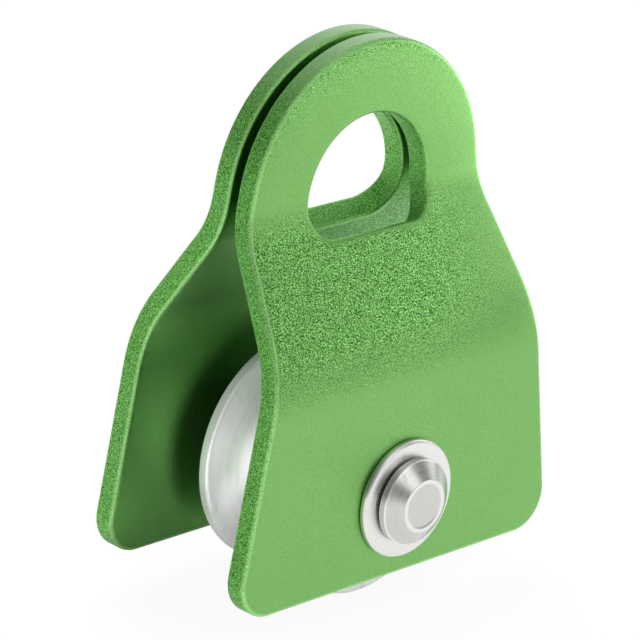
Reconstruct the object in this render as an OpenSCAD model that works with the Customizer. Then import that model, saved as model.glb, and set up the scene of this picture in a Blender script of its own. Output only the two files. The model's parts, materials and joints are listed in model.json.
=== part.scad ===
// Small rope pulley with two swinging cheek plates, for climbing and rescue rope.
// The origin is the centre of the carabiner eye, Z is up and the axle lies along Y.

/* [Cheek plates] */
// Thickness of each cheek plate
cheek_t = 4.2; // [3.5:0.1:6]
// Radius of the round head, centred on the eye
head_r = 24.7; // [22:0.1:30]
// Distance from the axle down to the straight foot of the plate
axle_to_foot = 13.3; // [11:0.1:20]
// Width of the foot where the flanks would meet its line
foot_w = 70; // [60:0.2:84]
// Radius of the two foot corners
foot_r = 6.2; // [3:0.2:10]
// Rounding of all plate edges, tumbled smooth
edge_r = 0.7; // [0.4:0.1:1.4]

/* [Joggle] */
// Clear width between the cheeks beside the sheave
throat_w = 26.4; // [24:0.2:32]
// Gap between the two heads
head_gap = 1.3; // [0.6:0.1:2.4]
// Slope of the joggle against the vertical, in degrees
joggle_angle = 32.6; // [28:0.2:40]
// Distance from the eye centre down to the middle of the joggle
joggle_drop = 13; // [10:0.2:18]
// Radius of the upper bend, on the plate's inner face
upper_bend_r = 16.5; // [9:0.5:20]
// Radius of the lower bend, on the plate's inner face
lower_bend_r = 19; // [12:0.5:22]

/* [Carabiner eye] */
// Width of the eye, a half circle at its top
eye_w = 25.6; // [22:0.2:28]
// Distance from the eye centre down to the eye's floor, on the outer face
eye_drop = 5.4; // [4:0.2:8]
// Radius of the eye's wide floor corner
eye_wide_r = 4.8; // [3:0.2:6]
// Radius of the eye's tight floor corner
eye_tight_r = 4; // [1.5:0.1:5]

/* [Axle] */
// Distance from the eye centre down to the axle
axle_drop = 47; // [43:0.2:56]
// Diameter of the axle's shank
shank_d = 10; // [9:0.1:10]
// Diameter of each riveted head
rivet_d = 14.2; // [13:0.2:16]
// Height of a head's straight rim
rivet_rim_h = 1.6; // [1:0.1:2.4]
// Height of a head's cone
rivet_cone_h = 1.9; // [1:0.1:3]
// Diameter of the flat on a head
rivet_flat_d = 8.8; // [6:0.2:10]
// Diameter of the shallow dimple in the flat
rivet_dimple_d = 7.2; // [4:0.2:8]
// Depth of the dimple
rivet_dimple_depth = 0.15; // [0.05:0.05:0.5]
// Outer diameter of the washer under each head
washer_d = 19.6; // [17:0.1:22]
// Thickness of the washer
washer_t = 1.2; // [0.8:0.1:2]

/* [Sheave] */
// Outer diameter of the sheave
sheave_d = 38.4; // [35:0.2:41]
// Gap between each side of the sheave and the cheek
sheave_gap = 3.7; // [2.6:0.1:4.6]
// Width of each rim beside the rope groove
rim_w = 2.1; // [1.6:0.1:3]
// Depth of the rope groove
groove_depth = 7.2; // [5:0.1:7.4]
// Rounding between groove and rim
rim_lip_r = 0.6; // [0.3:0.1:0.8]
// Chamfer on the rim's outer corner
rim_chamfer = 0.4; // [0.2:0.1:0.8]

/* [Bearings] */
// Outer diameter of each ball bearing
bearing_d = 19; // [18:0.1:19.6]
// Width of each ball bearing
bearing_w = 5; // [4.6:0.1:5.4]
// Distance of the bearing below the sheave's side face
bearing_recess = 0.5; // [0.3:0.1:1]
// Diameter of the balls
ball_d = 2.38; // [2:0.02:2.5]
// Number of balls in a bearing
ball_count = 11; // [9:1:12]
// Thickness of a bearing shield
shield_t = 0.25; // [0.2:0.05:0.35]
// Diameter of the thrust collar that faces each cheek
collar_d = 18; // [15:0.5:22]
// Thickness of the thrust collar
collar_t = 2.2; // [1:0.1:3]

/* [Fits] */
// Play beside a cheek on each side
side_play = 0.05; // [0.03:0.01:0.1]
// Radial clearance of the shank in a cheek
cheek_clearance = 0.08; // [0.03:0.01:0.15]
// Radial clearance of a race on its seat
seat_clearance = 0.02; // [0.01:0.01:0.05]
// Clearance of a ball in its raceway and in its cage
ball_clearance = 0.05; // [0.03:0.01:0.08]

/* [Hidden] */
$fn = 96;
green = [0.47, 0.72, 0.40];
bright_steel = [0.80, 0.80, 0.78];
bright_alloy = [0.84, 0.85, 0.84];
dark_steel = [0.55, 0.56, 0.58];
brass_tone = [0.76, 0.65, 0.40];
head_steps = 24;
bend_steps = 30;
corner_steps = 9;
round_steps = 3;
eye_steps = 36;
lip_turns = 4;
ball_fn = 48;
over = 1;

// Sizes that follow from the axle's place and the throat
foot_drop = axle_drop + axle_to_foot;
sheave_w = throat_w - 2 * sheave_gap;
groove_r = sheave_w / 2 - rim_w;

// Outline on a cheek's outer face: round head, two flanks tangent to it and a straight foot
flank_angle = acos(head_r / norm([foot_w / 2, foot_drop])) - atan2(foot_drop, foot_w / 2);
corner_z = foot_r - foot_drop;
corner_x = foot_w / 2 - (foot_r + foot_r * sin(flank_angle)) / cos(flank_angle);

// Joggle: two arcs about fixed centres and the straight slope between them
shift = (throat_w - head_gap) / 2;
slope_len = (shift - (upper_bend_r + lower_bend_r) * (1 - cos(joggle_angle))) / sin(joggle_angle);
upper_bend_z = slope_len * cos(joggle_angle) / 2 + upper_bend_r * sin(joggle_angle) - joggle_drop;
upper_bend_y = head_gap / 2 + upper_bend_r;
lower_bend_z = -slope_len * cos(joggle_angle) / 2 - lower_bend_r * sin(joggle_angle) - joggle_drop;
lower_bend_y = throat_w / 2 - lower_bend_r;

// Stations along the axle, outwards from the middle of the sheave
shank_r = shank_d / 2;
bearing_end = sheave_w / 2 - bearing_recess;
bearing_mid = bearing_end - bearing_w / 2;
collar_end = throat_w / 2 - side_play;
collar_start = collar_end - collar_t;
washer_start = throat_w / 2 + cheek_t + side_play;
washer_end = washer_start + washer_t;
rivet_rim_end = washer_end + rivet_rim_h;
rivet_end = rivet_rim_end + rivet_cone_h;

// Small chamfers and breaks
head_relief = 0.5;
head_relief_h = 0.3;
head_break = 0.15;
dimple_wall = 0.3;
washer_break = 0.15;
washer_round = 0.25;
collar_chamfer = 0.3;
seat_chamfer = 0.3;
lip_share = 0.85;

// Radii inside a bearing
race_bore_r = shank_r + seat_clearance;
ball_r = ball_d / 2;
pitch_r = (shank_r + bearing_d / 2) / 2;
raceway_r = ball_r + ball_clearance;
shoulder_share = 0.38;
shoulder_gap = shoulder_share * ball_d;
inner_shoulder_r = pitch_r - shoulder_gap;
outer_shoulder_r = pitch_r + shoulder_gap;
shield_seat = 0.4;
shield_seat_r = outer_shoulder_r + shield_seat;
shield_inset = 0.2;
cage_wall = 0.5;
cage_share = 1.4;
cage_w = cage_share * ball_d;
shield_gap = 0.15;
washer_clearance = 0.2;
washer_bore_r = shank_r + washer_clearance;

// Height of the plate's face over the middle plane, off mm outwards from its inner face
function face_y(z, off) =
    let (ru = upper_bend_r - off, rl = lower_bend_r + off,
        slope_top = upper_bend_z - ru * sin(joggle_angle),
        slope_foot = lower_bend_z + rl * sin(joggle_angle))
    z >= upper_bend_z ? head_gap / 2 + off
    : z >= slope_top ? upper_bend_y - sqrt(ru * ru - pow(z - upper_bend_z, 2))
    : z >= slope_foot ? upper_bend_y - ru * cos(joggle_angle) + (slope_top - z) * tan(joggle_angle)
    : z >= lower_bend_z ? lower_bend_y + sqrt(rl * rl - pow(z - lower_bend_z, 2))
    : throat_w / 2 + off;

// Height at off mm from the inner face of a point drawn on the outer face at z, going square
// through the bent plate as the punched blank does
function sheet_z(z, off) =
    let (ru = upper_bend_r - cheek_t, rl = lower_bend_r + cheek_t,
        slope_top = upper_bend_z - ru * sin(joggle_angle),
        slope_foot = lower_bend_z + rl * sin(joggle_angle))
    z >= upper_bend_z ? z
    : z >= slope_top ? upper_bend_z - (upper_bend_z - z) * (upper_bend_r - off) / ru
    : z >= slope_foot ? z - (cheek_t - off) * sin(joggle_angle)
    : z >= lower_bend_z ? lower_bend_z + (z - lower_bend_z) * (lower_bend_r + off) / rl
    : z;
function on_sheet(x, z, off) = let (h = sheet_z(z, off)) [x, face_y(h, off), h];

// Half outline from the crown to the foot, each entry [x, z, normal x, normal z]
function flank_x(z) = foot_w / 2 - (z + foot_drop) * tan(flank_angle);
half_outline = concat(
    [for (k = [0:head_steps]) let (a = 90 - (90 - flank_angle) * k / head_steps)
        [head_r * cos(a), head_r * sin(a), cos(a), sin(a)]],
    [for (k = [1:bend_steps])
        let (top = head_r * sin(flank_angle), z = top + (lower_bend_z - top) * k / bend_steps)
        [flank_x(z), z, cos(flank_angle), sin(flank_angle)]],
    [for (k = [0:corner_steps]) let (a = k == 0 ? flank_angle : -90 * (k - 1) / (corner_steps - 1))
        [corner_x + foot_r * cos(a), corner_z + foot_r * sin(a), cos(a), sin(a)]]);
outline_last = len(half_outline) - 1;
ring_len = 2 * outline_last + 1;

// Edge rounding as steps [inset from the outline, depth below the inner face]
rounding = concat(
    [for (k = [0:round_steps]) let (a = 90 - 90 * k / round_steps)
        [edge_r * (1 - cos(a)), edge_r * (1 - sin(a))]],
    [for (k = [0:round_steps]) let (a = 90 * k / round_steps)
        [edge_r * (1 - cos(a)), cheek_t - edge_r * (1 - sin(a))]]);

// One closed loop of the plate's skin at one step of the rounding
function skin_point(i, side, step) =
    let (p = half_outline[i])
    on_sheet(side * (p[0] - step[0] * p[2]), p[1] - step[0] * p[3], step[1]);
function skin_loop(step) = concat(
    [for (i = [0:outline_last]) skin_point(i, 1, step)],
    [for (i = [outline_last:-1:1]) skin_point(i, -1, step)]);

// Triangles between two neighbouring loops of n points, first point at index a and b
function band(a, b, n) = [for (j = [0:n - 1]) let (k = (j + 1) % n)
    each [[a + j, b + j, b + k], [a + j, b + k, a + k]]];

module plate_blank() {
    loops = len(rounding);
    last = (loops - 1) * ring_len;
    points = [for (step = rounding) each skin_loop(step)];
    skin = [for (r = [0:loops - 2]) each band(r * ring_len, (r + 1) * ring_len, ring_len)];
    inner_face = [for (i = [0:outline_last - 1])
        i == 0 ? [0, 1, ring_len - 1] : [i, i + 1, ring_len - i - 1, ring_len - i]];
    outer_face = [for (i = [0:outline_last - 1])
        i == 0 ? [last + 1, last, last + ring_len - 1]
            : [last + i + 1, last + i, last + ring_len - i, last + ring_len - i - 1]];
    polyhedron(points = points, faces = concat(skin, inner_face, outer_face), convexity = 6);
}

// Eye outline grown by g: half circle, then a tight and a wide floor corner
function eye_loop(g) = let (r = eye_w / 2) concat(
    [for (k = [0:eye_steps]) let (a = 180 * k / eye_steps) [(r + g) * cos(a), (r + g) * sin(a)]],
    [for (k = [0:corner_steps]) let (a = 180 + 90 * k / corner_steps)
        [eye_tight_r - r + (eye_tight_r + g) * cos(a),
            eye_tight_r - eye_drop + (eye_tight_r + g) * sin(a)]],
    [for (k = [0:corner_steps]) let (a = 270 + 90 * k / corner_steps)
        [r - eye_wide_r + (eye_wide_r + g) * cos(a),
            eye_wide_r - eye_drop + (eye_wide_r + g) * sin(a)]]);

// Lip of the eye as steps [growth, depth], run on past both faces along its last facet
lip_angles = [for (k = [1:round_steps]) 90 - 90 * k / round_steps];
lip_run = 2.5;
lip_first = [edge_r * (1 - cos(lip_angles[0])), edge_r * (1 - sin(lip_angles[0]))];
lip_past = [lip_first[0] + lip_run * (edge_r - lip_first[0]), lip_first[1] * (1 - lip_run)];
inner_lip = concat([lip_past], [for (a = lip_angles) [edge_r * (1 - cos(a)), edge_r * (1 - sin(a))]]);
outer_lip = [for (k = [len(inner_lip) - 1:-1:0]) [inner_lip[k][0], cheek_t - inner_lip[k][1]]];
lip_steps = concat(inner_lip, outer_lip);
eye_reach = on_sheet(0, -eye_drop - lip_past[0], cheek_t - lip_past[1])[1] + 2 * over;

module eye_cutter() {
    n = len(eye_loop(0));
    loops = len(lip_steps) + 2;
    rim = eye_loop(lip_past[0]);
    points = concat(
        [for (p = rim) [p[0], -over, sheet_z(p[1], lip_past[1])]],
        [for (s = lip_steps) each [for (p = eye_loop(s[0])) on_sheet(p[0], p[1], s[1])]],
        [for (p = rim) [p[0], eye_reach, sheet_z(p[1], cheek_t - lip_past[1])]]);
    skin = [for (r = [0:loops - 2]) each band((r + 1) * n, r * n, n)];
    caps = [[for (j = [n - 1:-1:0]) j], [for (j = [0:n - 1]) (loops - 1) * n + j]];
    polyhedron(points = points, faces = concat(skin, caps), convexity = 4);
}

// A round piece on the axle, y running outwards on the rear side
module on_axle() translate([0, 0, -axle_drop]) rotate([-90, 0, 0]) children();
module front_side() rotate([0, 0, 180]) children();

// Ring between two radii and two stations on the axle
module ring(r_in, r_out, y_from, y_to)
    on_axle() translate([0, 0, y_from]) difference() {
        cylinder(r = r_out, h = y_to - y_from);
        translate([0, 0, -over]) cylinder(r = r_in, h = y_to - y_from + 2 * over);
    }

module cheek_plate() color(green) difference() {
    plate_blank();
    eye_cutter();
    on_axle() cylinder(r = shank_r + cheek_clearance, h = washer_end);
}

module rivet_half() rotate_extrude() polygon([
    [0, 0], [shank_r, 0], [shank_r, washer_end], [rivet_d / 2 - head_relief, washer_end],
    [rivet_d / 2 - head_relief, washer_end + head_relief_h],
    [rivet_d / 2, washer_end + head_relief_h + head_break],
    [rivet_d / 2, rivet_rim_end - head_break], [rivet_d / 2 - head_break, rivet_rim_end],
    [rivet_flat_d / 2, rivet_end], [rivet_dimple_d / 2, rivet_end],
    [rivet_dimple_d / 2 - dimple_wall, rivet_end - rivet_dimple_depth],
    [0, rivet_end - rivet_dimple_depth]]);

module axle_pin() color(bright_steel) on_axle() {
    rivet_half();
    mirror([0, 0, 1]) rivet_half();
}

module washer() color(bright_steel) on_axle() rotate_extrude() polygon([
    [washer_bore_r, washer_start], [washer_d / 2 - washer_break, washer_start],
    [washer_d / 2, washer_start + washer_break], [washer_d / 2, washer_end - washer_round],
    [washer_d / 2 - washer_round, washer_end], [washer_bore_r, washer_end]]);

// Spacer from the inner race to the cheek, with the collar that the cheek turns against
module thrust_spacer() color(dark_steel) on_axle() rotate_extrude() polygon([
    [race_bore_r, bearing_end], [inner_shoulder_r, bearing_end], [inner_shoulder_r, collar_start],
    [collar_d / 2 - collar_chamfer, collar_start], [collar_d / 2, collar_start + collar_chamfer],
    [collar_d / 2, collar_end - collar_chamfer], [collar_d / 2 - collar_chamfer, collar_end],
    [race_bore_r, collar_end]]);

module bearing_sleeve() color(dark_steel)
    ring(race_bore_r, inner_shoulder_r, bearing_w - bearing_end, bearing_end - bearing_w);

// Section of the sheave, x the radius and y the width
module sheave_profile() {
    r = sheave_d / 2;
    half = sheave_w / 2;
    groove_mid = r - groove_depth + groove_r;
    lip_x = r - rim_lip_r;
    lip_y = sqrt(pow(groove_r + rim_lip_r, 2) - pow(lip_x - groove_mid, 2));
    lip_turn = lip_share * (180 - atan2(lip_y, groove_mid - lip_x));
    seat_r = bearing_d / 2 + seat_clearance;
    seat_end = bearing_end - bearing_w;
    rim = [[outer_shoulder_r, half], [r - rim_chamfer, half], [r, half - rim_chamfer],
        for (k = [0:lip_turns]) let (a = -lip_turn * k / lip_turns)
            [lip_x + rim_lip_r * cos(a), lip_y + rim_lip_r * sin(a)],
        [groove_mid, 0]];
    difference() {
        polygon(concat(rim, [for (k = [len(rim) - 2:-1:0]) [rim[k][0], -rim[k][1]]]));
        translate([groove_mid, 0]) circle(r = groove_r);
        for (side = [-1, 1])
            polygon([[0, side * seat_end], [seat_r, side * seat_end],
                [seat_r, side * (half - seat_chamfer)], [seat_r + seat_chamfer, side * half],
                [seat_r + seat_chamfer, side * (half + over)], [0, side * (half + over)]]);
    }
}

module sheave() color(bright_alloy) on_axle() rotate_extrude() sheave_profile();

// A piece of the bearing, turned about the axle or set round it
module in_bearing() on_axle() translate([0, 0, bearing_mid]) children();

module inner_race() color(dark_steel) in_bearing() rotate_extrude() difference() {
    translate([race_bore_r, -bearing_w / 2]) square([inner_shoulder_r - race_bore_r, bearing_w]);
    translate([pitch_r, 0]) circle(r = raceway_r);
}

module outer_race() color(dark_steel) in_bearing() rotate_extrude() difference() {
    translate([outer_shoulder_r, -bearing_w / 2]) square([bearing_d / 2 - outer_shoulder_r, bearing_w]);
    translate([pitch_r, 0]) circle(r = raceway_r);
    for (side = [-1, 1]) translate([0, side * (bearing_w / 2 - shield_inset - shield_t + over)])
        square([2 * shield_seat_r, 2 * over], center = true);
}

module round_the_bearing() for (k = [0:ball_count - 1]) rotate([0, 0, 360 * k / ball_count]) children();

module balls() color(bright_steel) in_bearing()
    round_the_bearing() translate([pitch_r, 0, 0]) sphere(r = ball_r, $fn = ball_fn);

module cage() color(brass_tone) in_bearing() difference() {
    cylinder(r = pitch_r + cage_wall / 2, h = cage_w, center = true);
    cylinder(r = pitch_r - cage_wall / 2, h = cage_w + 2 * over, center = true);
    round_the_bearing() translate([pitch_r - over, 0, 0]) rotate([0, 90, 0])
        cylinder(r = raceway_r, h = 2 * over, $fn = ball_fn);
}

// Shield in the outer race, side 1 outwards and side -1 towards the sheave's middle
module shield(side) let (y = bearing_mid + side * (bearing_w / 2 - shield_inset - shield_t / 2))
    color(dark_steel) ring(inner_shoulder_r + shield_gap, shield_seat_r, y - shield_t / 2, y + shield_t / 2);

cheek_plate();  // rear_cheek
front_side() cheek_plate();  // front_cheek
axle_pin();
washer();  // rear_washer
front_side() washer();  // front_washer
thrust_spacer();  // rear_thrust_spacer
front_side() thrust_spacer();  // front_thrust_spacer
bearing_sleeve();
sheave();
inner_race();  // rear_inner_race
outer_race();  // rear_outer_race
balls();  // rear_balls
cage();  // rear_cage
shield(1);  // rear_outer_shield
shield(-1);  // rear_inner_shield
front_side() inner_race();  // front_inner_race
front_side() outer_race();  // front_outer_race
front_side() balls();  // front_balls
front_side() cage();  // front_cage
front_side() shield(1);  // front_outer_shield
front_side() shield(-1);  // front_inner_shield
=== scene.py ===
"""A small rope pulley for climbing and rescue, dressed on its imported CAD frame.

Every size is in the frame of the CAD model: the origin is the centre of the carabiner eye,
Z is up, the axle lies along Y and the front cheek is on the -Y side.
Lengths in the shape functions are in millimetres, and add_piece turns them into metres.
"""

import json

import bmesh
import bpy
import numpy as np
from mathutils import Matrix, Vector


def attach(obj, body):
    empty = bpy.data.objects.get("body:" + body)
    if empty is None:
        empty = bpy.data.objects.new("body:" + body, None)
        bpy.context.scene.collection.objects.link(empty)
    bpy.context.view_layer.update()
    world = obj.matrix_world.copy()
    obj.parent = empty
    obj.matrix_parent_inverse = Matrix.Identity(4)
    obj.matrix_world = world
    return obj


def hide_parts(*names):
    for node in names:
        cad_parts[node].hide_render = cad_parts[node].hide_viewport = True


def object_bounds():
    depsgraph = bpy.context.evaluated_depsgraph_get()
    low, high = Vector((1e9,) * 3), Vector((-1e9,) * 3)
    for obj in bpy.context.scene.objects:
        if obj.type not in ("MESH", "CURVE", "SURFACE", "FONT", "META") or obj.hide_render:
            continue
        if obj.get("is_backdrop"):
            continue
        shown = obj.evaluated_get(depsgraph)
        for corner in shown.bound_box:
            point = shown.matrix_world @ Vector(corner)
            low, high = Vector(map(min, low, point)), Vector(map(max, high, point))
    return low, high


bl_info = {
    "name": "Climbing pulley",
    "version": (1, 0, 0),
    "blender": (4, 5, 0),
    "location": "3D View > Sidebar > Pulley",
    "description": "Builds the looks of a small swing-cheek rope pulley",
    "category": "Object",
}

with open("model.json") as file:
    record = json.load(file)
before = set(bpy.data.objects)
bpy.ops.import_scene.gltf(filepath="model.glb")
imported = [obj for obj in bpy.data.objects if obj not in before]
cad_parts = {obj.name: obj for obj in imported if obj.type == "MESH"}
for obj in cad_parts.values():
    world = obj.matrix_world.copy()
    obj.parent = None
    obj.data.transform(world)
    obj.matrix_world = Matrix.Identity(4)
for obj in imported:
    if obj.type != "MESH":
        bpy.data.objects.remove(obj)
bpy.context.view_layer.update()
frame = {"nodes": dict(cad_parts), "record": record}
nodes = frame["nodes"]
MM = 0.001
WHITE = (1.0, 1.0, 1.0)
FLOAT, VECTOR = "NodeSocketFloat", "NodeSocketVector"
LINE_DEPTH = 0.00002  # bump distance of turned and tumbled metal, in metres
NOISE_RANGE = (0.3, 0.7)  # where most of a noise's values lie

TURN_STEPS, SHEAVE_STEPS = 256, 320  # points round a turned piece

# Lengths below are in millimetres and heights are over the eye's centre.
SEAM = -12.0  # level line on which the two ray fields of a face meet
SEAM_POINTS = 129
RAY_ROWS = {"head": 18, "foot": 46}
HEAD_STEPS, UPPER_STEPS, LOWER_STEPS, CORNER_STEPS, FOOT_STEPS = 80, 40, 50, 28, 28
EYE_ARC_STEPS, EYE_CORNER_STEPS = 400, 120
EDGE_POINTS, WALL_POINTS = 9, 4
RIM_STRIDE = 4  # every fourth rim point serves to measure the distance to the rim
RAY_BUNCHING = 1.25  # above 1, rows stand closer towards the rim
CROWN_FADE = 2.6  # distance over which a tumbled face falls to the rim
SLOPE_PROBE = 0.1  # half step over which a face's slope is measured

# The open grain fades out between two places across the plate, and inside also upwards. The fade
# across the plate paints the light, which falls stronger towards +x, into the grain's contrast.
OPEN_ACROSS, OPEN_SHARE = (-24.0, -2.0), (0.12, 1.0)
OPEN_INSIDE, OPEN_INSIDE_SHARE = (-16.0, -6.0), (0.2, 1.0)
CROWN_OPENS = 0.45  # how much of a face's fall counts as a bend
# EYE_LIP scales the painted highlight on the eye's rounded lips.
RIM_OPEN_LEAST, EYE_OPEN, EYE_LIP = 0.6, 0.5, 0.35

# A riveted head, from the washer's outer face outwards.
HEAD_RIM, HEAD_TOP = 1.6, 3.5
NECK_INSET, NECK_TOP, SKIRT = 0.5, 0.3, 0.45
RING_WIDTH, DIMPLE_INSET, DIMPLE_DEPTH, DIMPLE_CORE, DIMPLE_RISE = 0.55, 0.95, 0.15, 1.2, 0.02
# Painted highlight on the head's rim edge and flat ring, and painted shade in the gap under the
# head.
HIGHLIGHT_REACH = 0.20
RING_MIDDLE, RING_REACH, RING_HIGHLIGHT, RING_FROM = 0.35, 0.42, 0.6, 3.3
SHADE_TOP, SHADE_FADE, SHADE_FOOT = 0.36, 0.08, -0.05
SIDE_PLAY, BORE_PLAY = 0.05, 0.2  # washer to cheek, and washer bore to shank
WASHER_INNER_EDGE, WASHER_OUTER_EDGE = 0.35, 0.6


# Settings

def length(name, text, mm):
    """A length property, given in millimetres and kept in metres."""
    return bpy.props.FloatProperty(
        name=name, description=text, default=mm * MM, min=0.0, soft_max=0.2,
        precision=5, unit="LENGTH")


def colour(name, text, rgb):
    """A colour property in linear values."""
    return bpy.props.FloatVectorProperty(
        name=name, description=text, default=rgb, size=3, min=0.0, max=1.0, subtype="COLOR")


def share(name, text, value):
    """A plain factor from 0 to 1."""
    return bpy.props.FloatProperty(
        name=name, description=text, default=value, min=0.0, max=1.0, subtype="FACTOR")


def power(name, text, watts):
    """A lamp's power."""
    return bpy.props.FloatProperty(
        name=name, description=text, default=watts, min=0.0, precision=4, unit="POWER")


class CheekSettings(bpy.types.PropertyGroup):
    """Sizes and finish of the two cheek plates."""
    thickness: length("Thickness", "Thickness of a cheek plate", 4.2)
    head_radius: length("Head radius", "Radius of the round head about the eye centre", 24.7)
    foot_drop: length("Foot drop", "Eye centre down to the straight foot", 60.3)
    foot_width: length("Foot width", "Width where the flanks would meet the foot line", 70.0)
    foot_radius: length("Foot radius", "Radius of the two foot corners", 6.2)
    edge_radius: length("Edge radius", "Rounding of every plate edge", 0.7)
    throat: length("Throat", "Clear width between the cheeks beside the sheave", 26.4)
    head_gap: length("Head gap", "Gap between the two heads", 1.3)
    joggle_drop: length("Joggle drop", "Eye centre down to the middle of the joggle", 13.0)
    upper_bend: length("Upper bend", "Radius of the upper bend on the inner face", 16.5)
    lower_bend: length("Lower bend", "Radius of the lower bend on the inner face", 19.0)
    joggle_angle: bpy.props.FloatProperty(
        name="Joggle angle", description="Slope of the joggle against the vertical",
        default=np.radians(32.6), min=0.1, max=1.2, subtype="ANGLE")
    eye_width: length("Eye width", "Width of the carabiner eye", 25.6)
    eye_drop: length("Eye drop", "Eye centre down to the eye's floor, on the outer face", 5.4)
    eye_wide: length("Wide corner", "Radius of the eye's wide floor corner", 4.8)
    eye_tight: length("Tight corner", "Radius of the eye's tight floor corner", 4.0)
    hole_radius: length("Axle hole radius", "Radius of the hole that turns on the axle", 5.08)
    crown: length("Crown", "How far the tumbled faces fall towards the rim", 0.22)
    anodised: colour("Anodised green", "Colour of the anodised faces", (0.218, 0.498, 0.140))
    grain: length("Grain", "Size of the bead-blasted grain", 0.175)


class AxleSettings(bpy.types.PropertyGroup):
    """Sizes and finish of the riveted axle, its washers and the sheave."""
    drop: length("Axle drop", "Eye centre down to the axle", 47.0)
    shank_radius: length("Shank radius", "Radius of the axle's shank", 5.0)
    head_radius: length("Rivet radius", "Radius of a riveted head", 7.1)
    flat_radius: length("Flat radius", "Radius of the flat on a riveted head", 4.4)
    washer_radius: length("Washer radius", "Radius of the washer under a head", 9.8)
    washer_thickness: length("Washer thickness", "Thickness of the washer", 1.2)
    steel: colour("Steel", "Colour of the turned steel", (0.63, 0.63, 0.61))
    washer_steel: colour("Washer steel", "Colour of the tumbled washers", (0.84, 0.84, 0.82))


class SheaveSettings(bpy.types.PropertyGroup):
    """Sizes and finish of the grooved sheave."""
    radius: length("Sheave radius", "Outer radius of the sheave", 19.2)
    width: length("Sheave width", "Width of the sheave over its rims", 19.0)
    groove_radius: length("Groove radius", "Radius of the rope groove", 7.4)
    groove_depth: length("Groove depth", "Depth of the rope groove", 7.2)
    lip_radius: length("Lip radius", "Rounding between groove and rim", 0.6)
    rim_break: length("Rim break", "Rounding of the rim's outer corner", 0.4)
    seat_radius: length("Seat radius", "Radius of the bearing seats", 9.52)
    seat_break: length("Seat break", "Chamfer at the mouth of a bearing seat", 0.3)
    seat_inset: length("Seat inset", "Side face down to the bottom of a bearing seat", 5.5)
    web_radius: length("Web radius", "Bore of the web between the seats", 8.155)
    alloy: colour("Alloy", "Colour of the turned alloy", (0.90, 0.91, 0.90))
    polish: share("Polish", "Roughness of the turned alloy", 0.34)


class StageSettings(bpy.types.PropertyGroup):
    """Floor, lamps and camera."""
    floor_colour: colour("Floor", "Colour of the floor", (0.90, 0.90, 0.90))
    overhead: power("Overhead lamp", "Power of the overhead lamp", 2.2)
    side: power("Side lamp", "Power of the side lamp", 1.2)
    fill: power("Fill lamp", "Power of the fill lamp at the open side", 4.0)
    panel: power("Panel lamp", "Power of the small panel seen in reflections only", 0.022)


# Meshes

def add_piece(name, points, faces, body, slot, material, attributes=None, sharp=None):
    """A smooth mesh piece from millimetre points and index faces, its doubles merged and its
    normals turned outwards, riding on a body and taking a slot's finish, the material given. The
    slot argument is not used. Attributes are a value a point. Sharp is the angle in degrees from
    which an edge stays sharp."""
    mesh = bpy.data.meshes.new(name)
    mesh.from_pydata((np.asarray(points) * MM).tolist(), [], np.asarray(faces).tolist())
    for key, values in (attributes or {}).items():
        layer = mesh.attributes.new(key, "FLOAT", "POINT")
        layer.data.foreach_set("value", np.asarray(values, np.float32))
    work = bmesh.new()
    work.from_mesh(mesh)
    bmesh.ops.remove_doubles(work, verts=work.verts, dist=2e-7)
    bmesh.ops.dissolve_degenerate(work, edges=work.edges, dist=1e-8)
    bmesh.ops.recalc_face_normals(work, faces=work.faces)
    work.to_mesh(mesh)
    work.free()
    mesh.shade_smooth()
    if sharp:
        mesh.set_sharp_from_angle(angle=np.radians(sharp))
    mesh.materials.append(material)
    piece = bpy.data.objects.new(name, mesh)
    bpy.context.scene.collection.objects.link(piece)
    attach(piece, body)
    return piece


def band_faces(rows, count, start=0):
    """Quads between neighbouring rows of count points each, every row a closed ring."""
    row = np.arange(rows - 1)[:, None] * count
    here = np.arange(count)[None, :]
    after = (here + 1) % count
    a, b = row + here, row + after
    return np.stack([a, a + count, b + count, b], -1).reshape(-1, 4) + start


def turned(profile, count=TURN_STEPS):
    """The points and faces of a profile of (radius, y) points turned about the axle:
    x = r cos t, z = r sin t, for t round the whole circle."""
    profile = np.asarray(profile, float)
    t = np.linspace(0, 2 * np.pi, count, endpoint=False)
    radius, y = profile[:, 0, None], profile[:, 1, None]
    points = np.stack([radius * np.cos(t), y + 0 * t, radius * np.sin(t)], -1)
    points[..., 2] -= scene_settings().axle.drop / MM
    return points.reshape(-1, 3), band_faces(len(profile), count)


def dense(profile, step=0.1):
    """The same path with points no further apart than step."""
    path = [profile[0]]
    for here, ahead in zip(profile[:-1], profile[1:]):
        parts = max(1, int(np.ceil(np.linalg.norm(ahead - here) / step)))
        path.extend(here + (ahead - here) * k / parts for k in range(1, parts + 1))
    return np.array(path)


def rounded(corners, steps):
    """A path of straight lines whose corners, each (x, y, radius), are replaced by arcs.
    The arc of radius r touches both lines at r / tan(half the corner's angle)."""
    corners = [np.array(c, float) for c in corners]
    path = []
    for i, corner in enumerate(corners):
        here, radius = corner[:2], corner[2]
        if radius <= 0 or i in (0, len(corners) - 1):
            path.append(here)
            continue
        back = corners[i - 1][:2] - here
        ahead = corners[i + 1][:2] - here
        back /= np.linalg.norm(back)
        ahead /= np.linalg.norm(ahead)
        half = 0.5 * np.arccos(np.clip(back @ ahead, -1, 1))
        middle = (back + ahead) / np.linalg.norm(back + ahead) * radius / np.sin(half)
        first = here + back * radius / np.tan(half) - (here + middle)
        last = here + ahead * radius / np.tan(half) - (here + middle)
        turn = np.arctan2(first[0] * last[1] - first[1] * last[0], first @ last)
        for share_of_turn in np.linspace(0, 1, steps + 1):
            c, s = np.cos(turn * share_of_turn), np.sin(turn * share_of_turn)
            path.append(here + middle + np.array([c * first[0] - s * first[1],
                                                  s * first[0] + c * first[1]]))
    return np.array(path)


# The cheek plate

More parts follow.
